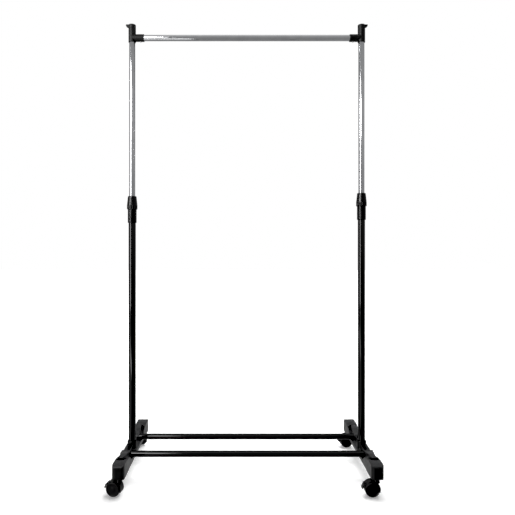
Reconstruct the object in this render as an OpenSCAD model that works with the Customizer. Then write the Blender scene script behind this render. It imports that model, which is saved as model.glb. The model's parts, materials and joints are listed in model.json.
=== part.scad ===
// Rolling clothes rack: two moulded feet on braked twin-wheel casters, two telescopic
// posts with twist clamps, a hang bar across the top and two bars across the base.
// X runs along the hang bar, Y from front to back, Z up. The floor is Z = 0.

/* [Overall size] */
// Distance between the axes of the two posts
post_spacing = 822; // [600:2:1000]
// Height of the hang bar's axis, at the height set here
bar_height = 1542; // [1470:1:1560]
// Outside diameter of the hang bar, the upper posts and the base bars
tube_d = 21; // [20:0.5:22]
// Outside diameter of the lower posts
lower_post_d = 25.4; // [25:0.1:26]
// Wall of every steel tube
tube_wall = 1; // [0.8:0.1:1.2]

/* [Feet] */
// Length of a foot, front to back
foot_length = 430; // [426:1:440]
// Width of a foot
foot_width = 40; // [38:1:44]
// Height of a foot's underside above the floor
foot_bottom = 57; // [57:0.5:59]
// Distance between the two base bars
base_bar_spacing = 154; // [148:2:160]
// Height of the base bars' axes
base_bar_height = 83.5; // [83:0.5:85]
// Distance from the rack's middle plane to a caster's stem
stem_offset = 195; // [193:0.5:197]

/* [Clamp collars] */
// Height of the lower edge of the right collar's fixed sleeve
collar_height = 890; // [860:1:896]
// How much lower the left collar sits, its post being seated deeper in its foot
collar_drop = 11; // [0:1:11]
// Height of the fixed sleeve that shows below the twist nut
sleeve_show = 48; // [44:1:50]
// Height of the twist nut
nut_height = 48; // [46:1:50]
// Largest diameter of the twist nut, at its lower edge
nut_big_d = 37; // [37:0.5:40]
// Smallest diameter of the twist nut, at its top
nut_small_d = 29; // [29:0.5:31]

/* [Casters] */
// Diameter of a wheel
wheel_d = 47; // [46:0.5:48]
// Width of one wheel
wheel_w = 9.6; // [9.5:0.1:10.5]
// Distance from the stem's axis to the axle
trail = 15.5; // [15:0.5:17]
// Heading of each caster at rest: front left, front right, rear left, rear right
caster_yaws = [169, 179, 140, 188]; // [0:1:359]

/* [Hidden] */
$fn = 64;
post_x = post_spacing / 2;
tube_r = tube_d / 2;
tube_bore_r = tube_r - tube_wall;
lower_r = lower_post_d / 2;
lower_bore_r = lower_r - tube_wall;
bar_y = base_bar_spacing / 2;
fit = 0.05;
eps = 0.01;

// Feet
half_w = foot_width / 2;
half_l = foot_length / 2;
nose_l = 71;
nose_back = 99.5;
pad_x = 4.5;
pad_r = 9.5;
pad_top = 101.5;
pad_end = 4;
hollow_r = 17;
dish_r = 32;
rim = 3;
nose_top = 103.5;
nose_tip = 100;
nose_corner_r = 11;
beam_bottom = foot_bottom + 2;
ledge_top = 73;
spine_top = 88;
spine_inner = 8;
rib_inner = -5;
rib_width = 2.6;
rib_top = spine_top;
boss_r = 12.5;
boss_inner = -11;
cap_r = 7.5;
cap_out = 4;
post_seat = foot_bottom + 8;
post_collar_top = 101;
post_collar_r = 16.5;
post_collar_chamfer = 1.5;
bar_end = 14;
shell = 3;

// Posts and connectors
conn_r = 13;
conn_top = bar_height + 47;
conn_bottom = bar_height - 16;
conn_reach = 43;
hook_reach = 21.5;
bar_stop = 14;
upper_bottom = 846;
upper_top = conn_top - 6;
bush_h = 32;
sleeve_r = 15.5;
thread_h = 18;
lower_top = sleeve_show + 4;
collet_h = 20;

// Casters
wheel_r = wheel_d / 2;
web_half = 6;
wheel_in = web_half + 0.4;
wheel_out = wheel_in + wheel_w;
axle_r = 3;
hood_in = wheel_r + 0.9;
hood_out = hood_in + 1.8;
hood_half = wheel_out - 2.6;
stem_r = 3.95;
boss_top = 53.5;
flange_top = foot_bottom - 1.8;
stem_top = foot_bottom + 34;
ring_z = foot_bottom + 26;
lever_r = hood_in + 2.6;
lever_a = 29;
lever_half = 10;
lever_pin_r = 1.2;
stems = [
    [-post_x, -stem_offset],
    [post_x, -stem_offset],
    [-post_x, stem_offset],
    [post_x, stem_offset]
];

// ---- Helpers ----

// A tube along Z from z0 to z1
module tube(r_out, r_in, z0, z1) {
    translate([0, 0, z0]) difference() {
        cylinder(r = r_out, h = z1 - z0);
        translate([0, 0, -1]) cylinder(r = r_in, h = z1 - z0 + 2);
    }
}

// A solid rod along X from x0 to x1
module rod_x(r, x0, x1) {
    translate([x0, 0, 0]) rotate([0, 90, 0]) cylinder(r = r, h = x1 - x0);
}

// A solid rod along Y from y0 to y1
module rod_y(r, y0, y1) {
    translate([0, y1, 0]) rotate([90, 0, 0]) cylinder(r = r, h = y1 - y0);
}

// Extrudes an outline drawn in the Y-Z plane along X, from x0 to x1
module side_cut(x0, x1) {
    translate([x0, 0, 0]) rotate([90, 0, 90]) linear_extrude(height = x1 - x0) children();
}

// Extrudes an outline drawn in the X-Z plane along Y, from -half to half
module upright_slab(half) {
    translate([0, half, 0]) rotate([90, 0, 0]) linear_extrude(height = 2 * half) children();
}

// Places a piece drawn about the right post on the left post (-1) or right post (1)
module on_post(side) {
    if (side > 0) translate([post_x, 0, 0]) children();
    else mirror([1, 0, 0]) translate([post_x, 0, 0]) children();
}

// Draws its children at the front and, mirrored, at the back
module front_and_back() {
    children();
    mirror([0, 1, 0]) children();
}

// A rectangle with its corners rounded
module round_rect(x0, y0, x1, y1, r) {
    translate([x0 + r, y0]) square([x1 - x0 - 2 * r, y1 - y0]);
    translate([x0, y0 + r]) square([x1 - x0, y1 - y0 - 2 * r]);
    for (x = [x0 + r, x1 - r], y = [y0 + r, y1 - r]) translate([x, y]) circle(r = r);
}

// ---- Feet, drawn at the post's axis with +X pointing away from the rack ----

// Side outline of one nose, from its back edge to the rounded tip
module nose_side() {
    y0 = half_l - nose_l;
    polygon([
        [y0, foot_bottom], [half_l - 2, foot_bottom], [half_l, foot_bottom + 3],
        [half_l, nose_tip - 5], [half_l - 1.5, nose_tip - 1.5], [half_l - 5, nose_tip + 1.5],
        [half_l - 12, nose_top - 0.5], [half_l - 22, nose_top], [y0 + 31, nose_top - 0.3],
        [y0 + 15, nose_back + 2.3], [y0, nose_back]
    ]);
}

// Plan outline of the nose, hollowed at the back to clear the pad's end
module nose_plan() {
    y0 = half_l - nose_l;
    difference() {
        union() {
            translate([-half_w, y0]) square([foot_width, nose_l - nose_corner_r]);
            translate([-half_w + nose_corner_r, y0]) {
                square([foot_width - 2 * nose_corner_r, nose_l]);
            }
            for (x = [-1, 1]) {
                translate([x * (half_w - nose_corner_r), half_l - nose_corner_r]) {
                    circle(r = nose_corner_r);
                }
            }
        }
        translate([pad_x, y0]) circle(r = hollow_r);
    }
}

module nose() {
    dish_bottom = nose_back - 3;
    difference() {
        intersection() {
            side_cut(-half_w, half_w) nose_side();
            translate([0, 0, foot_bottom - 1]) linear_extrude(height = 60) nose_plan();
        }
        // shallow dish that slopes down to the groove
        translate([pad_x, half_l - nose_l, dish_bottom]) {
            cylinder(r1 = hollow_r - 0.5, r2 = dish_r, h = nose_top + 0.5 - dish_bottom);
        }
    }
}

// Raised pad between the bar's socket and the nose, with its round end towards the nose
module pad() {
    y0 = half_l - nose_l - pad_end;
    intersection() {
        side_cut(-half_w, half_w) polygon([
            [bar_y - 16, beam_bottom], [y0 + pad_r + 1, beam_bottom],
            [y0 + pad_r + 1, pad_top - 1], [y0, pad_top], [y0 - 22, pad_top],
            [bar_y + 14, pad_top - 4], [bar_y + 4, spine_top + 2], [bar_y - 16, spine_top]
        ]);
        translate([0, 0, beam_bottom]) linear_extrude(height = 60) {
            translate([pad_x, y0]) circle(r = pad_r);
            polygon([
                [boss_inner, bar_y - 12], [half_w - 3, bar_y - 12], [half_w - 3, bar_y + 16],
                [half_w - 6, bar_y + 34], [pad_x + pad_r, y0], [pad_x - pad_r, y0],
                [boss_inner + 1.5, bar_y + 34], [boss_inner, bar_y + 12]
            ]);
        }
    }
}

// Rims along both sides, from the nose back towards the bar's socket
module side_rims() {
    y0 = half_l - nose_l;
    side_cut(-half_w, -half_w + rim) polygon([
        [y0 - 46, beam_bottom], [y0 + 31, beam_bottom], [y0 + 31, nose_top - 0.3],
        [y0 + 15, nose_back + 2.3], [y0, nose_back], [y0 - 24, nose_back - 8],
        [y0 - 46, ledge_top]
    ]);
    side_cut(half_w - rim, half_w) polygon([
        [bar_y, beam_bottom], [y0 + 31, beam_bottom], [y0 + 31, nose_top - 0.3],
        [y0 + 15, nose_back + 2.3], [y0, nose_back], [y0 - 24, nose_back - 6],
        [y0 - 46, spine_top + 1], [bar_y, spine_top]
    ]);
}

// Floor of the groove round the pad's end
module groove_floor() {
    y0 = half_l - nose_l;
    side_cut(-half_w, half_w) polygon([
        [y0 - 30, beam_bottom], [y0 + hollow_r + 3, beam_bottom],
        [y0 + hollow_r + 3, ledge_top + 5], [y0, ledge_top + 4], [y0 - 30, ledge_top - 1]
    ]);
}

// The long lower beam with its ledge, the spine along its outer side, and the rib inside it
module beam() {
    translate([-half_w, -half_l + 20, beam_bottom]) {
        cube([foot_width, foot_length - 40, ledge_top - beam_bottom]);
    }
    y_end = bar_y + boss_r;
    difference() {
        translate([spine_inner, -y_end, beam_bottom]) {
            cube([half_w - spine_inner, 2 * y_end, spine_top - beam_bottom]);
        }
        // chamfer along the outer top edge
        translate([half_w, 0, spine_top]) rotate([0, 45, 0]) cube([4, 2 * y_end + 2, 4], center = true);
    }
    rib_end = bar_y - boss_r + 1;
    translate([rib_inner, -rib_end, beam_bottom]) {
        cube([rib_width, 2 * rib_end, rib_top - beam_bottom]);
    }
}

// Round collar that holds the lower post's foot
module post_collar() {
    chamfer_z = post_collar_top - post_collar_chamfer;
    translate([0, 0, beam_bottom]) cylinder(r = post_collar_r, h = chamfer_z - beam_bottom);
    translate([0, 0, chamfer_z]) {
        cylinder(r1 = post_collar_r, r2 = post_collar_r - post_collar_chamfer, h = post_collar_chamfer);
    }
}

// Pockets that hollow the underside, as in a moulding
module underside() {
    pocket_top = ledge_top - shell - 1;
    for (y = [[26, bar_y - 17], [bar_y + 17, 118], [124, 150]]) {
        translate([-half_w + shell, y[0], foot_bottom - 1]) {
            cube([foot_width - 2 * shell, y[1] - y[0], pocket_top - foot_bottom + 1]);
        }
    }
    // ring pocket around the caster's boss
    difference() {
        translate([0, 0, foot_bottom - 1]) linear_extrude(height = 32) {
            round_rect(-half_w + shell, 166, half_w - shell, half_l - shell, 10);
        }
        translate([0, stem_offset, 0]) cylinder(r = 9.5, h = 120);
        translate([-half_w, stem_offset - 1, 0]) cube([foot_width, 2, 120]);
    }
}

module foot() {
    difference() {
        union() {
            beam();
            front_and_back() {
                nose();
                pad();
                side_rims();
                groove_floor();
                // socket for the bar's end
                translate([0, bar_y, base_bar_height]) rod_x(boss_r, boss_inner, half_w);
                translate([boss_inner, bar_y - boss_r, beam_bottom]) {
                    cube([half_w - boss_inner, 2 * boss_r, base_bar_height - beam_bottom]);
                }
            }
            post_collar();
        }
        translate([0, 0, post_seat]) cylinder(r = lower_r + fit, h = 60);
        front_and_back() {
            underside();
            translate([0, bar_y, base_bar_height]) {
                rod_x(tube_r + fit, boss_inner - 1, bar_end + fit);
                rod_x(3.1, 0, half_w + 1);
            }
            translate([0, stem_offset, foot_bottom - 1]) cylinder(r = 6 + 0.02, h = 35);
        }
    }
}

module left_foot() { color("dimgray") on_post(-1) foot(); }
module right_foot() { color("dimgray") on_post(1) foot(); }

// ---- Posts, bars and their fastenings ----

// Height that a post and its collar are raised above the left one
function lift(side) = side > 0 ? collar_drop : 0;
function collar_z(side) = collar_height - collar_drop + lift(side);

module lower_post(side) {
    on_post(side) tube(lower_r, lower_bore_r, post_seat + lift(side), collar_z(side) + lower_top);
}

module left_lower_post() { color("black") lower_post(-1); }
module right_lower_post() { color("black") lower_post(1); }

module base_bar(y) {
    translate([0, y, base_bar_height]) difference() {
        rod_x(tube_r, -post_x - bar_end, post_x + bar_end);
        rod_x(tube_bore_r, -post_x - bar_end - 1, post_x + bar_end + 1);
    }
}

module front_base_bar() { color("black") base_bar(-bar_y); }
module rear_base_bar() { color("black") base_bar(bar_y); }

// Draws its children at the four outer ends of the base bars
module at_bar_ends() {
    for (side = [-1, 1]) on_post(side) front_and_back() {
        translate([0, bar_y, base_bar_height]) children();
    }
}

module base_bar_plugs() {
    color("silver") at_bar_ends() difference() {
        rod_x(tube_bore_r, bar_end - 20, bar_end);
        rod_x(3, bar_end - 21, bar_end + 1);
    }
}

module base_bar_bolts() {
    color("silver") at_bar_ends() {
        rod_x(3, bar_end - 16, half_w + eps);
        difference() {
            rod_x(5.5, half_w, half_w + 3.5);
            translate([half_w + 1.5, 0, 0]) rotate([0, 90, 0]) cylinder(r = 2.5, h = 3, $fn = 6);
        }
    }
}

module base_bar_bolt_caps() {
    color("black") at_bar_ends() difference() {
        union() {
            rod_x(cap_r, half_w, half_w + cap_out - 2);
            translate([half_w + cap_out - 2, 0, 0]) rotate([0, 90, 0]) cylinder(r1 = cap_r, r2 = cap_r - 2, h = 2);
        }
        rod_x(5.6, half_w - 1, half_w + 3.6);
    }
}

// ---- Height clamp: fixed sleeve, split collet and twist nut ----

module collar_sleeve(side) {
    z = collar_z(side);
    top = z + sleeve_show + thread_h;
    on_post(side) difference() {
        union() {
            translate([0, 0, z]) cylinder(r1 = sleeve_r - 1, r2 = sleeve_r, h = 2);
            translate([0, 0, z + 2]) cylinder(r = sleeve_r, h = sleeve_show - 2 + eps);
            translate([0, 0, z + sleeve_show]) cylinder(r = sleeve_r - 0.6, h = thread_h);
        }
        translate([0, 0, z - 1]) cylinder(r = lower_r + 0.02, h = lower_top + 1);
        translate([0, 0, z]) cylinder(r = tube_r + 0.35, h = 100);
        // cone that squeezes the collet
        translate([0, 0, top - 6]) cylinder(r1 = tube_r + 0.35, r2 = tube_r + 2.6, h = 6 + eps);
    }
}

module left_collar_sleeve() { color("black") collar_sleeve(-1); }
module right_collar_sleeve() { color("black") collar_sleeve(1); }

// The split ring that the nut squeezes onto the upper post
module collet(side) {
    z = collar_z(side) + sleeve_show + thread_h - 5;
    on_post(side) difference() {
        union() {
            translate([0, 0, z]) cylinder(r1 = tube_r + 0.6, r2 = tube_r + 2.3, h = 4.4);
            translate([0, 0, z + 4.4]) cylinder(r = tube_r + 2.3, h = 9);
            translate([0, 0, z + 13.4]) cylinder(r1 = tube_r + 2.3, r2 = tube_r + 1.2, h = 6.6);
        }
        translate([0, 0, z - 1]) cylinder(r = tube_r + fit, h = collet_h + 2);
        translate([0, -1, z - 1]) cube([30, 2, collet_h + 2]);
    }
}

module left_collet() { color("ivory") collet(-1); }
module right_collet() { color("ivory") collet(1); }

// Tapered nut with finger flutes round its lower half
module clamp_nut(side) {
    z = collar_z(side) + sleeve_show;
    flutes = 16;
    big = nut_big_d / 2;
    small = nut_small_d / 2;
    on_post(side) translate([0, 0, z]) difference() {
        union() {
            translate([0, 0, 0.4]) cylinder(r1 = big - 1.5, r2 = big, h = 1.6);
            translate([0, 0, 2]) cylinder(r = big, h = 12);
            translate([0, 0, 14]) cylinder(r1 = big, r2 = small + 0.6, h = nut_height - 16);
            translate([0, 0, nut_height - 2]) cylinder(r1 = small + 0.6, r2 = small - 0.8, h = 2);
        }
        translate([0, 0, -1]) cylinder(r = sleeve_r - 0.3, h = thread_h + 2);
        translate([0, 0, thread_h]) cylinder(r = tube_r + 2.7, h = nut_height - thread_h - 13);
        translate([0, 0, nut_height - 13.1]) cylinder(r1 = tube_r + 2.7, r2 = tube_r + 0.6, h = 10);
        translate([0, 0, thread_h]) cylinder(r = tube_r + 0.6, h = nut_height);
        for (i = [0 : flutes - 1]) {
            rotate([0, 0, (i + 0.5) * 360 / flutes]) translate([big + 1.2, 0, 2.6]) cylinder(r = 2, h = 10.8);
        }
    }
}

module left_clamp_nut() { color("black") clamp_nut(-1); }
module right_clamp_nut() { color("black") clamp_nut(1); }

// ---- Upper frame: posts, bushes, connectors and hang bar ----

module upper_post(side) {
    on_post(side) tube(tube_r, tube_bore_r, upper_bottom, upper_top);
}

module left_upper_post() { color("silver") upper_post(-1); }
module right_upper_post() { color("silver") upper_post(1); }

// Plastic bush on an upper post's lower end, which guides it in the lower post
module post_bush(side) {
    on_post(side) difference() {
        union() {
            tube(lower_bore_r - 0.08, tube_r, upper_bottom, upper_bottom + bush_h);
            tube(lower_bore_r - 0.08, tube_r - 3, upper_bottom - 3, upper_bottom);
        }
    }
}

module left_post_bush() { color("ivory") post_bush(-1); }
module right_post_bush() { color("ivory") post_bush(1); }

// Side outline of the small bag hook at a connector's top
module hook_side() {
    polygon([
        [conn_r - 4, conn_top - 11], [hook_reach - 3, conn_top - 7.5], [hook_reach, conn_top - 5],
        [hook_reach, conn_top - 1], [hook_reach - 1, conn_top], [conn_r - 4, conn_top]
    ]);
}

// T-shaped connector: cap for the post and socket for the hang bar
module connector(side) {
    on_post(side) difference() {
        union() {
            translate([0, 0, conn_bottom]) cylinder(r = conn_r, h = conn_top - conn_bottom - 1);
            translate([0, 0, conn_top - 1]) cylinder(r1 = conn_r, r2 = conn_r - 1, h = 1);
            translate([0, 0, bar_height]) rod_x(conn_r, -conn_reach, 0);
            upright_slab(6) hook_side();
        }
        translate([0, 0, conn_bottom - 1]) cylinder(r = tube_r + 0.02, h = upper_top - conn_bottom + 1);
        translate([0, 0, bar_height]) rod_x(tube_r + 0.02, -conn_reach - 1, -bar_stop);
        // screw holes: one into the post from behind, one into the bar from below
        translate([0, 0, conn_top - 18]) rod_y(1.9, 0, conn_r + 1);
        translate([-31, 0, bar_height - conn_r - 1]) cylinder(r = 1.9, h = conn_r);
    }
}

module left_connector() { color("black") connector(-1); }
module right_connector() { color("black") connector(1); }

module hang_bar() {
    color("silver") translate([0, 0, bar_height]) difference() {
        rod_x(tube_r, -post_x + bar_stop, post_x - bar_stop);
        rod_x(tube_bore_r, -post_x, post_x);
        for (side = [-1, 1]) translate([side * (post_x - 31), 0, -tube_r - 1]) cylinder(r = 1.9, h = 3);
    }
}

// Pan-head screw pointing up, with its seat at the origin
module pan_screw(shank) {
    cylinder(r = 1.85, h = shank);
    translate([0, 0, -1.6]) difference() {
        cylinder(r1 = 2.6, r2 = 3.4, h = 1.6);
        translate([-2, -0.4, -1]) cube([4, 0.8, 1.8]);
        translate([-0.4, -2, -1]) cube([0.8, 4, 1.8]);
    }
}

module connector_screws() {
    color("silver") for (side = [-1, 1]) on_post(side) {
        translate([-31, 0, bar_height - conn_r]) pan_screw(3.2);
        translate([0, conn_r, conn_top - 18]) rotate([90, 0, 0]) pan_screw(2.3);
    }
}

// ---- Casters, drawn with the stem on the Z axis and the axle at X = trail ----

// Places a caster piece on stem number i: front left, front right, rear left, rear right
module on_stem(i) {
    translate([stems[i][0], stems[i][1], 0]) rotate([0, 0, caster_yaws[i]]) children();
}

// A pie-slice outline about the axle, from angle a0 to a1
module sector(r, a0, a1) {
    steps = 12;
    polygon(concat([[0, 0]], [
        for (i = [0 : steps]) let (a = a0 + (a1 - a0) * i / steps) [r * cos(a), r * sin(a)]
    ]));
}

// Half section of a wheel: X is the distance from the axle, Y from the inner face outward
module wheel_section() {
    edge = 2.4;
    difference() {
        union() {
            translate([0, 0]) square([wheel_r - edge, wheel_w]);
            translate([0, edge]) square([wheel_r, wheel_w - 2 * edge]);
            for (y = [edge, wheel_w - edge]) translate([wheel_r - edge, y]) circle(r = edge, $fn = 32);
        }
        translate([7, -1]) square([wheel_r - 3.2 - 7, wheel_w - 2.2]);
        translate([7, wheel_w - 0.6]) square([wheel_r - 5 - 7, 1]);
        translate([-1, -1]) square([axle_r + fit + 1, wheel_w - 0.6]);
    }
    // lip that snaps into the axle's groove
    translate([axle_r - 0.4, 4]) square([1, 0.8]);
}

module wheel(i, side) {
    on_stem(i) translate([trail, side * wheel_in, wheel_r]) rotate([side > 0 ? -90 : 90, 0, 0]) {
        rotate_extrude($fn = 96) wheel_section();
    }
}

module caster_axle(i) {
    on_stem(i) translate([trail, 0, wheel_r]) difference() {
        rod_y(axle_r, -wheel_out + 1.8, wheel_out - 1.8);
        for (side = [-1, 1]) translate([0, side * (wheel_in + 4.4), 0]) difference() {
            rod_y(axle_r + 1, -0.6, 0.6);
            rod_y(axle_r - 0.5, -1, 1);
        }
    }
}

module caster_hood(i) {
    pivot = [lever_r * cos(lever_a), 0, lever_r * sin(lever_a)];
    on_stem(i) difference() {
        union() {
            translate([trail, 0, wheel_r]) {
                // shell over both wheels
                difference() {
                    intersection() {
                        rod_y(hood_out, -hood_half, hood_half);
                        upright_slab(hood_half) sector(2 * hood_out, 6, 202);
                    }
                    rod_y(hood_in, -wheel_out - 1, wheel_out + 1);
                }
                // web between the wheels and the spacer round the axle
                intersection() {
                    rod_y(hood_in + 1, -2.5, 2.5);
                    upright_slab(3) sector(2 * hood_out, 6, 202);
                }
                rod_y(8, -web_half, web_half);
                // ears for the brake lever's pin
                for (side = [-1, 1]) translate(pivot) {
                    translate([0, side * (lever_half + 2), 0]) rod_y(2.6, -1.4, 1.4);
                }
            }
            // boss for the stem
            translate([0, 0, 28]) cylinder(r = web_half, h = 16);
            translate([0, 0, 42]) cylinder(r1 = 11, r2 = 8.5, h = boss_top - 42);
        }
        // room for the wheels under the boss's flare
        translate([trail, 0, wheel_r]) for (side = [-1, 1]) {
            mirror([0, side > 0 ? 0 : 1, 0]) rod_y(hood_in, web_half + 0.02, wheel_out + 1);
        }
        // window for the brake lever
        translate([trail, 0, wheel_r]) difference() {
            upright_slab(lever_half + 0.4) sector(2 * hood_out, 2, 50);
            rod_y(wheel_r - 0.2, -20, 20);
        }
        translate([trail, 0, wheel_r]) {
            rod_y(axle_r + 0.02, -10, 10);
            translate(pivot) rod_y(lever_pin_r + 0.02, -lever_half - 3, lever_half + 3);
        }
        translate([0, 0, 33]) cylinder(r = stem_r + 0.02, h = 40);
    }
}

// Steel stem with a thrust flange and a groove for its grip ring
module caster_stem(i) {
    on_stem(i) difference() {
        union() {
            translate([0, 0, 33]) cylinder(r = stem_r, h = stem_top - 35);
            translate([0, 0, stem_top - 2]) cylinder(r1 = stem_r, r2 = stem_r - 1.4, h = 2);
            translate([0, 0, boss_top]) cylinder(r = 8, h = flange_top - boss_top);
        }
        tube(stem_r + 1, stem_r - 0.7, ring_z, ring_z + 2);
    }
}

module brake_pin(i) {
    on_stem(i) translate([trail, 0, wheel_r]) {
        translate([lever_r * cos(lever_a), 0, lever_r * sin(lever_a)]) {
            rod_y(lever_pin_r, -lever_half - 3, lever_half + 3);
        }
    }
}

// Foot lever: hub on its pin, a cam that faces the treads and a curved blade
module brake_lever(i) {
    on_stem(i) translate([trail, 0, wheel_r]) {
        translate([lever_r * cos(lever_a), 0, lever_r * sin(lever_a)]) difference() {
            union() {
                rod_y(2.3, -lever_half, lever_half);
                rotate([0, 180 - lever_a, 0]) translate([1.75, -lever_half, -1.3]) {
                    cube([lever_r - wheel_r - 2.35, 2 * lever_half, 2.6]);
                }
                upright_slab(lever_half) polygon([
                    [-0.3, 1.75], [1.5, 0.95], [4.5, -3.2], [7, -8.8], [8.5, -12.6],
                    [7, -13.1], [5.2, -9.1], [2.6, -4.5], [-0.4, -1.7]
                ]);
            }
            rod_y(lever_pin_r + fit, -20, 20);
        }
    }
}

module caster_sockets() {
    color("gray") for (s = stems) translate([s[0], s[1], 0]) difference() {
        union() {
            translate([0, 0, foot_bottom - 1.5]) cylinder(r = 8.5, h = 1.5 + eps);
            translate([0, 0, foot_bottom]) cylinder(r = 6, h = 33.5);
        }
        translate([0, 0, foot_bottom - 2]) cylinder(r = stem_r + fit, h = 40);
        tube(stem_r + 0.7, stem_r - 1, ring_z - 0.1, ring_z + 2.1);
    }
}

// Spring rings that hold the stems up in their sockets
module stem_grip_rings() {
    color("silver") for (s = stems) translate([s[0], s[1], 0]) difference() {
        tube(stem_r + 0.65, stem_r - 0.6, ring_z + 0.3, ring_z + 1.7);
        translate([0, -0.8, ring_z]) cube([10, 1.6, 3]);
    }
}

module front_left_stem() { color("silver") caster_stem(0); }
module front_left_hood() { color("dimgray") caster_hood(0); }
module front_left_axle() { color("silver") caster_axle(0); }
module front_left_near_wheel() { color("black") wheel(0, 1); }
module front_left_far_wheel() { color("black") wheel(0, -1); }
module front_left_brake_pin() { color("silver") brake_pin(0); }
module front_left_brake_lever() { color("black") brake_lever(0); }

module front_right_stem() { color("silver") caster_stem(1); }
module front_right_hood() { color("dimgray") caster_hood(1); }
module front_right_axle() { color("silver") caster_axle(1); }
module front_right_near_wheel() { color("black") wheel(1, 1); }
module front_right_far_wheel() { color("black") wheel(1, -1); }
module front_right_brake_pin() { color("silver") brake_pin(1); }
module front_right_brake_lever() { color("black") brake_lever(1); }

module rear_left_stem() { color("silver") caster_stem(2); }
module rear_left_hood() { color("dimgray") caster_hood(2); }
module rear_left_axle() { color("silver") caster_axle(2); }
module rear_left_near_wheel() { color("black") wheel(2, 1); }
module rear_left_far_wheel() { color("black") wheel(2, -1); }
module rear_left_brake_pin() { color("silver") brake_pin(2); }
module rear_left_brake_lever() { color("black") brake_lever(2); }

module rear_right_stem() { color("silver") caster_stem(3); }
module rear_right_hood() { color("dimgray") caster_hood(3); }
module rear_right_axle() { color("silver") caster_axle(3); }
module rear_right_near_wheel() { color("black") wheel(3, 1); }
module rear_right_far_wheel() { color("black") wheel(3, -1); }
module rear_right_brake_pin() { color("silver") brake_pin(3); }
module rear_right_brake_lever() { color("black") brake_lever(3); }

left_foot();
right_foot();
left_lower_post();
right_lower_post();
front_base_bar();
rear_base_bar();
base_bar_plugs();
base_bar_bolts();
base_bar_bolt_caps();
left_collar_sleeve();
right_collar_sleeve();
left_collet();
right_collet();
caster_sockets();
stem_grip_rings();
left_clamp_nut();
right_clamp_nut();
left_upper_post();
right_upper_post();
left_post_bush();
right_post_bush();
left_connector();
right_connector();
hang_bar();
connector_screws();
front_left_stem();
front_left_hood();
front_left_axle();
front_left_near_wheel();
front_left_far_wheel();
front_left_brake_pin();
front_left_brake_lever();
front_right_stem();
front_right_hood();
front_right_axle();
front_right_near_wheel();
front_right_far_wheel();
front_right_brake_pin();
front_right_brake_lever();
rear_left_stem();
rear_left_hood();
rear_left_axle();
rear_left_near_wheel();
rear_left_far_wheel();
rear_left_brake_pin();
rear_left_brake_lever();
rear_right_stem();
rear_right_hood();
rear_right_axle();
rear_right_near_wheel();
rear_right_far_wheel();
rear_right_brake_pin();
rear_right_brake_lever();
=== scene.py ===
"""Looks of the rolling clothes rack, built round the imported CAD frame. Everything is in metres."""

import json
import math

import bmesh
import bpy
from mathutils import Matrix, Vector

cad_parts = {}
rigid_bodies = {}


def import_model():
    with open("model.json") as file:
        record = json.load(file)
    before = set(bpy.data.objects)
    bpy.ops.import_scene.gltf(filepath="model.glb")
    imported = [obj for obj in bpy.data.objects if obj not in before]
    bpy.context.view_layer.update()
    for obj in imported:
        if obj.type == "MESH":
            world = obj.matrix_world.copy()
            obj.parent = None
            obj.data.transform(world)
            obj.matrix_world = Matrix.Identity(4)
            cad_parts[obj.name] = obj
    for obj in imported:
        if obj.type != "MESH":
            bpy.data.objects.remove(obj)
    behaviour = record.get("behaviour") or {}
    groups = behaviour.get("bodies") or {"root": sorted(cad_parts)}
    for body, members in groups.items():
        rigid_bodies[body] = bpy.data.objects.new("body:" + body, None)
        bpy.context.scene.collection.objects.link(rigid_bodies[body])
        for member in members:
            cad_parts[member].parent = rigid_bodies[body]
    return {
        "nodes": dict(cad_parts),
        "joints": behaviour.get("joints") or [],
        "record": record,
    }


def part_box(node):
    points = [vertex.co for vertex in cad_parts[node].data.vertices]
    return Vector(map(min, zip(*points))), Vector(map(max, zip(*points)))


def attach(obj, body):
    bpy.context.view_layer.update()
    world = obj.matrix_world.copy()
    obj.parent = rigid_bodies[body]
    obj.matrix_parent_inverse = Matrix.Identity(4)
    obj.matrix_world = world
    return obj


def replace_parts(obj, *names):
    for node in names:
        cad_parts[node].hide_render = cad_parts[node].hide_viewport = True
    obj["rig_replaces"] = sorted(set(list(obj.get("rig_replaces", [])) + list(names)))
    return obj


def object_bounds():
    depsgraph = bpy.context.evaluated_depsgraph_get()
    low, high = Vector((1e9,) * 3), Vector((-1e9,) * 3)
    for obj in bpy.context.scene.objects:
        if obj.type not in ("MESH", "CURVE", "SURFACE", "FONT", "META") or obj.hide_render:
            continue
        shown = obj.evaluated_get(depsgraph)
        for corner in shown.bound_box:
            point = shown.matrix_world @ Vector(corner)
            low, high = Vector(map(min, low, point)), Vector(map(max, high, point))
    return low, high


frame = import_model()
cad_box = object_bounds()

MM = 0.001
SLOT_OF = {part["node"]: part["material_slot"] for part in frame["record"]["subparts"]}
JOINTS = {joint["name"]: joint for joint in frame["joints"]}
BODY_OF = {
    node: body
    for body, nodes in frame["record"]["behaviour"]["bodies"].items()
    for node in nodes
}
CASTERS = ("front_left", "front_right", "rear_left", "rear_right")
SIDES = ("left", "right")


def map_range(tree, source, low, high, start, stop):
    """A node that maps source from start..stop smoothly to low..high."""
    node = tree.nodes.new("ShaderNodeMapRange")
    node.interpolation_type = "SMOOTHSTEP"
    tree.links.new(source, node.inputs["Value"])
    node.inputs["From Min"].default_value = start
    node.inputs["From Max"].default_value = stop
    node.inputs["To Min"].default_value = low
    node.inputs["To Max"].default_value = high
    return node.outputs["Result"]


# ---- Materials ----

# Where a mesh's pointiness starts and ends to count as a worn outer edge
EDGE_START = 0.53
EDGE_FULL = 0.6
RUBBED_PLASTIC = (0.14, 0.14, 0.145)
# The colour of the painted shade round a lower post
PAINTED_POST_SHADE = (0.003, 0.003, 0.0032)
# Painted shade round a lower post, dark over the collar and recess at its base: its width past the
# post, and its lower end
POST_SHADE_INNER = 4.2
POST_SHADE_OUTER = 5.0
POST_SHADE_LOW = 74.0
POST_SHADE_FULL = 76.0


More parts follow.
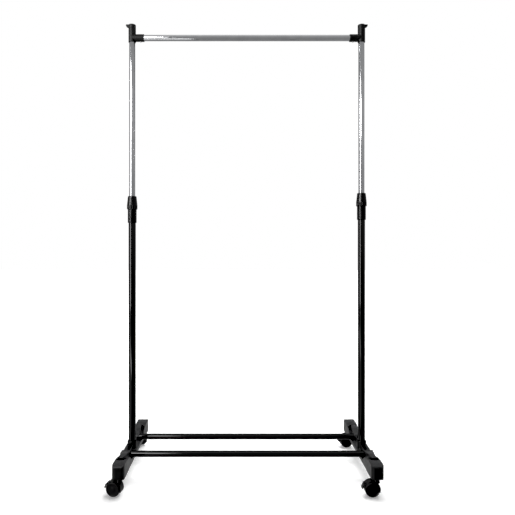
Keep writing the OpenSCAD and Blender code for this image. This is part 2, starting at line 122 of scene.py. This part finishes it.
class Paint:
    """Short calls for building one material's nodes."""

    def __init__(self, name):
        self.material = bpy.data.materials.new(name)
        self.material.use_nodes = True
        self.tree = self.material.node_tree
        self.shader = self.tree.nodes["Principled BSDF"]
        self.place = self.add("ShaderNodeTexCoord").outputs["Object"]

    def add(self, kind, **settings):
        node = self.tree.nodes.new(kind)
        for key, value in settings.items():
            setattr(node, key, value)
        return node

    def link(self, source, target):
        self.tree.links.new(source, target)

    def set(self, **values):
        """Plain values on the shader's own sockets."""
        for key, value in values.items():
            self.shader.inputs[key.replace("_", " ")].default_value = value

    def noise(self, scale, detail=3.0, rough=0.5, stretch=(1, 1, 1)):
        """A noise from 0 to 1 with about `scale` features a metre."""
        mapping = self.add("ShaderNodeMapping")
        mapping.inputs["Scale"].default_value = stretch
        self.link(self.place, mapping.inputs["Vector"])
        node = self.add("ShaderNodeTexNoise")
        node.inputs["Scale"].default_value = scale
        node.inputs["Detail"].default_value = detail
        node.inputs["Roughness"].default_value = rough
        self.link(mapping.outputs["Vector"], node.inputs["Vector"])
        return node.outputs["Fac"]

    def span(self, value, low, high, start=0.3, stop=0.7):
        """Maps value from start..stop to low..high."""
        return map_range(self.tree, value, low, high, start, stop)

    def blend(self, factor, first, second):
        """Mixes two colours, each a colour or a socket."""
        node = self.add("ShaderNodeMix", data_type="RGBA")
        self.link(factor, node.inputs["Factor"])
        for socket, value in ((node.inputs[6], first), (node.inputs[7], second)):
            if isinstance(value, bpy.types.NodeSocket):
                self.link(value, socket)
            else:
                socket.default_value = (*value, 1.0)
        return node.outputs[2]

    def edges(self):
        """1 along worn outer edges, 0 elsewhere."""
        geometry = self.add("ShaderNodeNewGeometry")
        return self.span(geometry.outputs["Pointiness"], 0.0, 1.0, EDGE_START, EDGE_FULL)

    def times(self, first, second):
        node = self.add("ShaderNodeMath", operation="MULTIPLY")
        for socket, value in zip(node.inputs, (first, second)):
            if isinstance(value, bpy.types.NodeSocket):
                self.link(value, socket)
            else:
                socket.default_value = value
        return node.outputs["Value"]

    def bump(self, height, distance, strength=1.0, below=None):
        """A bump of `distance` metres, on top of the bump `below` it."""
        node = self.add("ShaderNodeBump")
        node.inputs["Strength"].default_value = strength
        node.inputs["Distance"].default_value = distance
        self.link(height, node.inputs["Height"])
        if below is not None:
            self.link(below, node.inputs["Normal"])
        return node.outputs["Normal"]

    def finish(self, colour=None, rough=None, normal=None):
        for name, value in (("Base Color", colour), ("Roughness", rough), ("Normal", normal)):
            if value is not None:
                self.link(value, self.shader.inputs[name])
        return self.material


def painted_shade_round_post(paint):
    """1 on the collar that stands up round a lower post, where shade is painted, 0 on the rest of
    the foot.
    """
    low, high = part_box("left_lower_post")
    axis_x, radius = abs(low.x + high.x) / 2, (high.x - low.x) / 2
    place = paint.add("ShaderNodeSeparateXYZ")
    paint.link(paint.place, place.inputs[0])
    across = paint.add("ShaderNodeMath", operation="ABSOLUTE")
    paint.link(place.outputs["X"], across.inputs[0])
    offset = paint.add("ShaderNodeMath", operation="SUBTRACT")
    paint.link(across.outputs[0], offset.inputs[0])
    offset.inputs[1].default_value = axis_x
    flat = paint.add("ShaderNodeCombineXYZ")
    paint.link(offset.outputs[0], flat.inputs["X"])
    paint.link(place.outputs["Y"], flat.inputs["Y"])
    reach = paint.add("ShaderNodeVectorMath", operation="LENGTH")
    paint.link(flat.outputs[0], reach.inputs[0])
    inner, outer = radius + POST_SHADE_INNER * MM, radius + POST_SHADE_OUTER * MM
    near = paint.span(reach.outputs["Value"], 1.0, 0.0, inner, outer)
    above = paint.span(place.outputs["Z"], 0.0, 1.0, POST_SHADE_LOW * MM, POST_SHADE_FULL * MM)
    return paint.times(near, above)


def moulded_plastic(name, dark, light, rough, grain_mm, depth_mm, gloss, collar=False):
    """Moulded plastic with a spark-eroded grain, slight mottling and rubbed edges; with collar set,
    painted shade round the lower posts.
    """
    paint = Paint(name)
    paint.set(Specular_IOR_Level=gloss)
    mottle = paint.noise(45, 4)
    grain = paint.noise(1 / (grain_mm * MM), 2, 0.6)
    colour = paint.blend(paint.span(mottle, 0, 1), dark, light)
    rubbed = paint.times(paint.edges(), paint.span(paint.noise(160, 4), 0.0, 0.55))
    colour = paint.blend(rubbed, colour, RUBBED_PLASTIC)
    # Painted shade: the foot turns near black round the base of each lower post
    if collar:
        colour = paint.blend(painted_shade_round_post(paint), colour, PAINTED_POST_SHADE)
    normal = paint.bump(grain, depth_mm * MM, 0.6)
    normal = paint.bump(paint.noise(60, 2), 0.12 * MM, 0.25, normal)
    return paint.finish(colour, paint.span(mottle, rough - 0.05, rough + 0.07), normal)


def black_paint():
    """Gloss black powder coat with a faint orange peel and a little dust."""
    paint = Paint("gloss_black_paint")
    paint.set(Specular_IOR_Level=0.66, IOR=1.5)
    dust = paint.span(paint.noise(700, 6, 0.7), 0.0, 1.0, 0.62, 0.8)
    colour = paint.blend(dust, (0.002, 0.002, 0.0022), (0.01, 0.01, 0.01))
    normal = paint.bump(paint.noise(330, 2, 0.4), 0.02 * MM, 0.35)
    return paint.finish(colour, paint.span(paint.noise(38, 3), 0.07, 0.13), normal)


def chrome():
    """Bright chrome plate with polishing lines and a light haze."""
    paint = Paint("chrome_plate")
    paint.set(Metallic=1.0)
    haze = paint.noise(26, 5, 0.6)
    colour = paint.blend(paint.span(haze, 0, 1), (0.83, 0.84, 0.86), (0.74, 0.75, 0.77))
    fine = paint.noise(2600, 2, 0.6)
    normal = paint.bump(fine, 0.004 * MM, 0.4)
    normal = paint.bump(paint.noise(14, 2), 0.25 * MM, 0.06, normal)
    return paint.finish(colour, paint.span(haze, 0.05, 0.12), normal)


def zinc():
    """Zinc-plated steel, slightly clouded."""
    paint = Paint("zinc_plated_steel")
    paint.set(Metallic=1.0)
    cloud = paint.noise(420, 4)
    colour = paint.blend(paint.span(cloud, 0, 1), (0.46, 0.46, 0.45), (0.62, 0.62, 0.6))
    normal = paint.bump(paint.noise(2200, 3), 0.01 * MM, 0.4)
    return paint.finish(colour, paint.span(cloud, 0.24, 0.4), normal)


def nylon():
    """Unpainted nylon of the pieces inside the tubes."""
    paint = Paint("natural_nylon")
    cloud = paint.noise(90, 3)
    colour = paint.blend(paint.span(cloud, 0, 1), (0.66, 0.64, 0.58), (0.76, 0.74, 0.69))
    normal = paint.bump(paint.noise(1500, 2), 0.02 * MM, 0.5)
    return paint.finish(colour, paint.span(cloud, 0.42, 0.56), normal)


MATERIALS = {
    "foot_plastic": moulded_plastic(
        "charcoal_foot_plastic", (0.03, 0.03, 0.031), (0.038, 0.038, 0.039),
        # collar=True paints shade round the lower posts
        rough=0.33, grain_mm=0.55, depth_mm=0.05, gloss=0.5, collar=True,
    ),
    "collar_plastic": moulded_plastic(
        "black_collar_plastic", (0.011, 0.011, 0.0115), (0.015, 0.015, 0.0155),
        rough=0.27, grain_mm=0.5, depth_mm=0.025, gloss=0.5,
    ),
    "connector_plastic": moulded_plastic(
        "black_connector_plastic", (0.019, 0.019, 0.0195), (0.025, 0.025, 0.0255),
        rough=0.5, grain_mm=0.5, depth_mm=0.03, gloss=0.52,
    ),
    "cap_plastic": moulded_plastic(
        "black_cap_plastic", (0.01, 0.01, 0.0105), (0.015, 0.015, 0.0155),
        rough=0.4, grain_mm=0.45, depth_mm=0.03, gloss=0.35,
    ),
    "hood_plastic": moulded_plastic(
        "grey_hood_plastic", (0.02, 0.02, 0.0205), (0.028, 0.028, 0.0285),
        rough=0.38, grain_mm=0.45, depth_mm=0.04, gloss=0.42,
    ),
    "wheel_plastic": moulded_plastic(
        "grey_wheel_plastic", (0.06, 0.06, 0.061), (0.07, 0.07, 0.071),
        rough=0.42, grain_mm=0.5, depth_mm=0.04, gloss=0.3,
    ),
    "lever_plastic": moulded_plastic(
        "black_lever_plastic", (0.006, 0.006, 0.0065), (0.01, 0.01, 0.0105),
        rough=0.36, grain_mm=0.45, depth_mm=0.03, gloss=0.35,
    ),
    "black_paint": black_paint(),
    "chrome_tube": chrome(),
    "zinc_steel": zinc(),
    "natural_nylon": nylon(),
}


# ---- Pieces ----

# Steps round a turned piece
TURNS = 128
TUBE_WALL = 1.0
TUBE_END_ROUND = 0.3
# Edges sharper than this are broken on a machined piece; flatter seams are merged first
BEVEL_ABOVE = math.radians(35)
MERGE_BELOW = math.radians(0.6)


def piece_from(mesh, name, node):
    """A new piece with that mesh, in place of the CAD node and with its slot's finish."""
    piece = bpy.data.objects.new(name, mesh)
    bpy.context.scene.collection.objects.link(piece)
    mesh.materials.clear()
    mesh.materials.append(MATERIALS[SLOT_OF[node]])
    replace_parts(piece, node)
    return piece


def settle(piece, node):
    """Applies the piece's modifiers and puts it on its node's body."""
    graph = bpy.context.evaluated_depsgraph_get()
    finished = bpy.data.meshes.new_from_object(piece.evaluated_get(graph))
    finished.name = piece.name
    piece.modifiers.clear()
    piece.data = finished
    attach(piece, BODY_OF[node])
    return piece


def clean_copy(node):
    """A copy of the CAD node's mesh with its seams joined."""
    mesh = frame["nodes"][node].data.copy()
    work = bmesh.new()
    work.from_mesh(mesh)
    bmesh.ops.remove_doubles(work, verts=work.verts, dist=1e-6)
    work.to_mesh(mesh)
    work.free()
    return mesh


def moulded(node, voxel_mm, relax):
    """The CAD node with every edge softly rounded, as a moulding's are."""
    piece = piece_from(clean_copy(node), node + ".moulded", node)
    remesh = piece.modifiers.new("remesh", "REMESH")
    remesh.mode = "VOXEL"
    remesh.voxel_size = voxel_mm * MM
    remesh.use_smooth_shade = True
    smooth = piece.modifiers.new("relax", "SMOOTH")
    smooth.factor = 0.5
    smooth.iterations = relax
    return settle(piece, node)


def machined(node, bevel_mm):
    """The CAD node with its sharp edges broken."""
    piece = piece_from(clean_copy(node), node + ".machined", node)
    work = bmesh.new()
    work.from_mesh(piece.data)
    bmesh.ops.dissolve_limit(work, angle_limit=MERGE_BELOW, verts=work.verts, edges=work.edges)
    work.to_mesh(piece.data)
    work.free()
    bevel = piece.modifiers.new("bevel", "BEVEL")
    bevel.width = bevel_mm * MM
    bevel.segments = 2
    bevel.limit_method = "ANGLE"
    bevel.angle_limit = BEVEL_ABOVE
    bevel.harden_normals = True
    for face in piece.data.polygons:
        face.use_smooth = True
    return settle(piece, node)


def lathe_mesh(name, outline, matrix):
    """Turns a closed outline of (radius, height) points about Z, then places it."""
    work = bmesh.new()
    rings = []
    for i in range(TURNS):
        a = 2 * math.pi * i / TURNS
        rings.append([
            work.verts.new(matrix @ Vector((r * math.cos(a), r * math.sin(a), z)))
            for r, z in outline
        ])
    count = len(outline)
    for i in range(TURNS):
        here, there = rings[i], rings[(i + 1) % TURNS]
        for j in range(count):
            k = (j + 1) % count
            work.faces.new((here[j], there[j], there[k], here[k]))
    bmesh.ops.recalc_face_normals(work, faces=work.faces)
    mesh = bpy.data.meshes.new(name)
    work.to_mesh(mesh)
    work.free()
    for face in mesh.polygons:
        face.use_smooth = True
    return mesh


def rounded(points, radius, steps=4):
    """The closed outline of (radius, height) points with each corner rounded."""
    out = []
    count = len(points)
    for i, corner in enumerate(points):
        here = Vector(corner)
        before = Vector(points[i - 1]) - here
        after = Vector(points[(i + 1) % count]) - here
        reach = min(radius, before.length * 0.45, after.length * 0.45)
        start = here + before.normalized() * reach
        end = here + after.normalized() * reach
        for s in range(steps + 1):
            t = s / steps
            point = start.lerp(here, t).lerp(here.lerp(end, t), t)
            out.append((point.x, point.y))
    return out


def tube(node):
    """A round tube in place of the CAD node's, along the longest side of its box."""
    low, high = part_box(node)
    size = high - low
    axis = max(range(3), key=lambda i: size[i])
    across = [size[i] for i in range(3) if i != axis]
    radius = max(across) / 2
    length = size[axis]
    inner = radius - TUBE_WALL * MM
    corners = [(inner, 0), (radius, 0), (radius, length), (inner, length)]
    outline = rounded(corners, TUBE_END_ROUND * MM, 3)
    turn = Vector((0, 0, 1)).rotation_difference(Vector([float(i == axis) for i in range(3)]))
    centre = (low + high) / 2
    centre[axis] = low[axis]
    matrix = Matrix.Translation(centre) @ turn.to_matrix().to_4x4()
    piece = piece_from(lathe_mesh(node + ".tube", outline, matrix), node + ".tube", node)
    return settle(piece, node)


def wheel(node, joint_name):
    """One wheel with a rounded tread, a dished outer face and a small hub cap."""
    joint = JOINTS[joint_name]
    centre, axis = Vector(joint["pos_m"]), Vector(joint["axis"]).normalized()
    vertices = frame["nodes"][node].data.vertices
    reach = [(v.co - centre).dot(axis) for v in vertices]
    if abs(min(reach)) > abs(max(reach)):
        axis = -axis
        reach = [-t for t in reach]
    inner, outer = min(reach), max(reach)
    radius = max((v.co - centre).cross(axis).length for v in vertices)
    width = outer - inner
    mm = MM
    points = [
        (3.1 * mm, 0), (6.6 * mm, 0), (7.4 * mm, width - 2.6 * mm),
        (radius - 3.4 * mm, width - 2.6 * mm),
        (radius - 3.2 * mm, 0), (radius - 1.4 * mm, 0), (radius - 0.4 * mm, 0.9 * mm),
        (radius, 2.6 * mm), (radius, width - 3.2 * mm), (radius - 0.5 * mm, width - 1.4 * mm),
        (radius - 1.9 * mm, width - 0.1 * mm), (radius - 4.2 * mm, width),
        (radius - 4.9 * mm, width - 1.0 * mm), (7.6 * mm, width - 1.4 * mm),
        (6.9 * mm, width - 0.7 * mm), (2.6 * mm, width - 0.5 * mm), (0.05 * mm, width - 0.6 * mm),
        (0.05 * mm, width - 1.5 * mm), (3.1 * mm, width - 1.6 * mm),
    ]
    outline = rounded(points, 0.55 * mm, 4)
    turn = Vector((0, 0, 1)).rotation_difference(axis)
    matrix = Matrix.Translation(centre + axis * inner) @ turn.to_matrix().to_4x4()
    piece = piece_from(lathe_mesh(node + ".wheel", outline, matrix), node + ".wheel", node)
    return settle(piece, node)


for side in SIDES:
    moulded(side + "_foot", 0.7, 5)
    tube(side + "_lower_post")
    tube(side + "_upper_post")
    moulded(side + "_connector", 0.6, 7)
    moulded(side + "_collar_sleeve", 0.5, 3)
    moulded(side + "_clamp_nut", 0.4, 3)
for node in ("front_base_bar", "rear_base_bar", "hang_bar"):
    tube(node)
machined("base_bar_bolt_caps", 0.6)
machined("base_bar_bolts", 0.25)
machined("connector_screws", 0.2)
for caster in CASTERS:
    moulded(caster + "_hood", 0.45, 3)
    moulded(caster + "_brake_lever", 0.35, 3)
    for which in ("near", "far"):
        wheel(f"{caster}_{which}_wheel", f"{caster}_{which}_roll")
    machined(caster + "_stem", 0.25)

replaced = {
    node for piece in bpy.data.objects for node in piece.get("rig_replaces", [])
}
for node, shape in frame["nodes"].items():
    if node not in replaced:
        shape.data.materials.clear()
        shape.data.materials.append(MATERIALS[SLOT_OF[node]])


# ---- Studio: camera, floor and light ----

CAMERA_PLACE = (-0.028, -1.78, 0.80)
LENS_MM = 34.69
SENSOR_MM = 36.0
SHIFT = (0.0359, -0.0243)


def level_camera():
    """A level camera in front of the rack, its picture shifted to frame the whole of it."""
    data = bpy.data.cameras.new("camera")
    data.sensor_width = SENSOR_MM
    data.lens = LENS_MM
    data.shift_x, data.shift_y = SHIFT
    data.clip_start = 0.02
    camera = bpy.data.objects.new("camera", data)
    camera.location = CAMERA_PLACE
    camera.rotation_euler = (math.radians(90), 0, 0)
    bpy.context.scene.collection.objects.link(camera)
    bpy.context.scene.camera = camera


def floor():
    """A wide pale floor just under the wheels, fading to white far from the rack."""
    work = bmesh.new()
    bmesh.ops.create_grid(work, x_segments=8, y_segments=8, size=14)
    mesh = bpy.data.meshes.new("floor")
    work.to_mesh(mesh)
    work.free()
    plane = bpy.data.objects.new("floor", mesh)
    plane.location.z = cad_box[0][2] - 0.0002
    bpy.context.scene.collection.objects.link(plane)
    paint = Paint("pale_floor")
    paint.set(Specular_IOR_Level=0.0, Roughness=1.0)
    colour = paint.blend(paint.noise(3, 3), (0.90, 0.90, 0.90), (0.93, 0.93, 0.93))
    paint.set(Emission_Color=(1, 1, 1, 1))
    away = paint.add("ShaderNodeVectorMath", operation="LENGTH")
    paint.link(paint.place, away.inputs[0])
    glow = paint.span(away.outputs["Value"], 0.3, 1.0, 1.2, 3.2)
    paint.link(glow, paint.shader.inputs["Emission Strength"])
    mesh.materials.append(paint.finish(colour))
    plane.visible_glossy = False
    plane.visible_diffuse = False


def area_light(name, place, aim, size, watts, diffuse=True, glossy=True):
    data = bpy.data.lights.new(name, "AREA")
    data.shape = "RECTANGLE"
    data.size, data.size_y = size
    data.energy = watts
    light = bpy.data.objects.new(name, data)
    light.location = place
    light.rotation_euler = (Vector(aim) - Vector(place)).to_track_quat("-Z", "Y").to_euler()
    bpy.context.scene.collection.objects.link(light)
    light.visible_camera = False
    light.visible_diffuse = diffuse
    light.visible_glossy = glossy


# What a glossy surface sees: brightness against the height of the direction it looks in
ROOM_IN_FRONT = (
    (-1.0, 0.25), (-0.8, 0.25), (-0.4, 0.235), (-0.1, 0.21), (0.1, 0.3), (0.3, 0.4),
    (0.6, 0.24), (0.78, 0.24), (0.95, 0.7),
)
BACKDROP = (
    (-1.0, 0.12), (-0.85, 0.22), (-0.6, 0.45), (-0.3, 0.45), (-0.05, 0.33), (0.2, 0.22),
    (0.5, 0.1), (0.9, 0.06),
)
# A lit card low down at the front left, seen only in gloss
CARD_TOWARDS = (-0.64, -0.64, -0.42)
CARD_BRIGHT = 0.65
# Diffuse light from the front and from behind
SOFT_FRONT = 0.05
SOFT_BEHIND = 0.9


def studio_world():
    """White to the camera. Gloss sees a dim room in front and a lit backdrop behind the rack."""
    world = bpy.data.worlds.new("studio")
    bpy.context.scene.world = world
    world.use_nodes = True
    tree = world.node_tree
    background = tree.nodes["Background"]
    towards = tree.nodes.new("ShaderNodeTexCoord").outputs["Generated"]
    direction = tree.nodes.new("ShaderNodeSeparateXYZ")
    tree.links.new(towards, direction.inputs[0])
    path = tree.nodes.new("ShaderNodeLightPath")

    def mix(factor, first, second):
        node = tree.nodes.new("ShaderNodeMix")
        tree.links.new(factor, node.inputs[0])
        for socket, value in ((node.inputs[2], first), (node.inputs[3], second)):
            if isinstance(value, bpy.types.NodeSocket):
                tree.links.new(value, socket)
            else:
                socket.default_value = value
        return node.outputs[0]

    def by_height(steps):
        """Brightness against the direction's height, from (height, brightness) steps."""
        ramp = tree.nodes.new("ShaderNodeValToRGB")
        ramp.color_ramp.interpolation = "B_SPLINE"
        height_share = map_range(tree, direction.outputs["Z"], 0.0, 1.0, -1.0, 1.0)
        tree.links.new(height_share, ramp.inputs["Fac"])
        stops = ramp.color_ramp.elements
        while len(stops) < len(steps):
            stops.new(0.5)
        for stop, (height, bright) in zip(stops, steps):
            x = (height + 1) / 2
            stop.position = x * x * (3 - 2 * x)
            stop.color = (bright, bright, bright, 1)
        return ramp.outputs["Color"]

    room = by_height(ROOM_IN_FRONT)
    backdrop = by_height(BACKDROP)
    behind = map_range(tree, direction.outputs["Y"], 0.0, 1.0, -0.1, 0.8)
    towards_card = tree.nodes.new("ShaderNodeVectorMath")
    towards_card.operation = "DOT_PRODUCT"
    tree.links.new(towards, towards_card.inputs[0])
    towards_card.inputs[1].default_value = CARD_TOWARDS
    on_card = map_range(tree, towards_card.outputs["Value"], 0.0, 1.0, 0.88, 0.97)
    seen_in_gloss = mix(on_card, mix(behind, room, backdrop), CARD_BRIGHT)
    soft_behind = map_range(tree, direction.outputs["Y"], 0.0, 1.0, -0.4, 0.6)
    soft = mix(soft_behind, SOFT_FRONT, SOFT_BEHIND)
    seen = mix(path.outputs["Is Glossy Ray"], soft, seen_in_gloss)
    strength = mix(path.outputs["Is Camera Ray"], seen, 1.0)
    background.inputs["Color"].default_value = (1, 1, 1, 1)
    tree.links.new(strength, background.inputs["Strength"])


level_camera()
floor()
studio_world()
area_light("left_strip", (-2.7, -2.35, 1.65), (0, 0, 1.45), (0.75, 2.8), 60, diffuse=False)
area_light("floor_glint", (-1.5, -1.15, 0.01), (-1.5, -1.15, 2), (1.9, 0.4), 7, diffuse=False)
area_light("key_box", (-1.57, -1.9, 2.0), (-0.2, 0, 0.2), (1.4, 0.6), 30, diffuse=False)
area_light("top_fill", (0.3, 0.9, 3.0), (0, 0, 0), (2.6, 2.0), 120, glossy=False)

view = bpy.context.scene.view_settings
view.view_transform = "Standard"
view.use_curve_mapping = True
view.curve_mapping.black_level = (0.014, 0.014, 0.014)
view.curve_mapping.update()

bpy.context.view_layer.update()
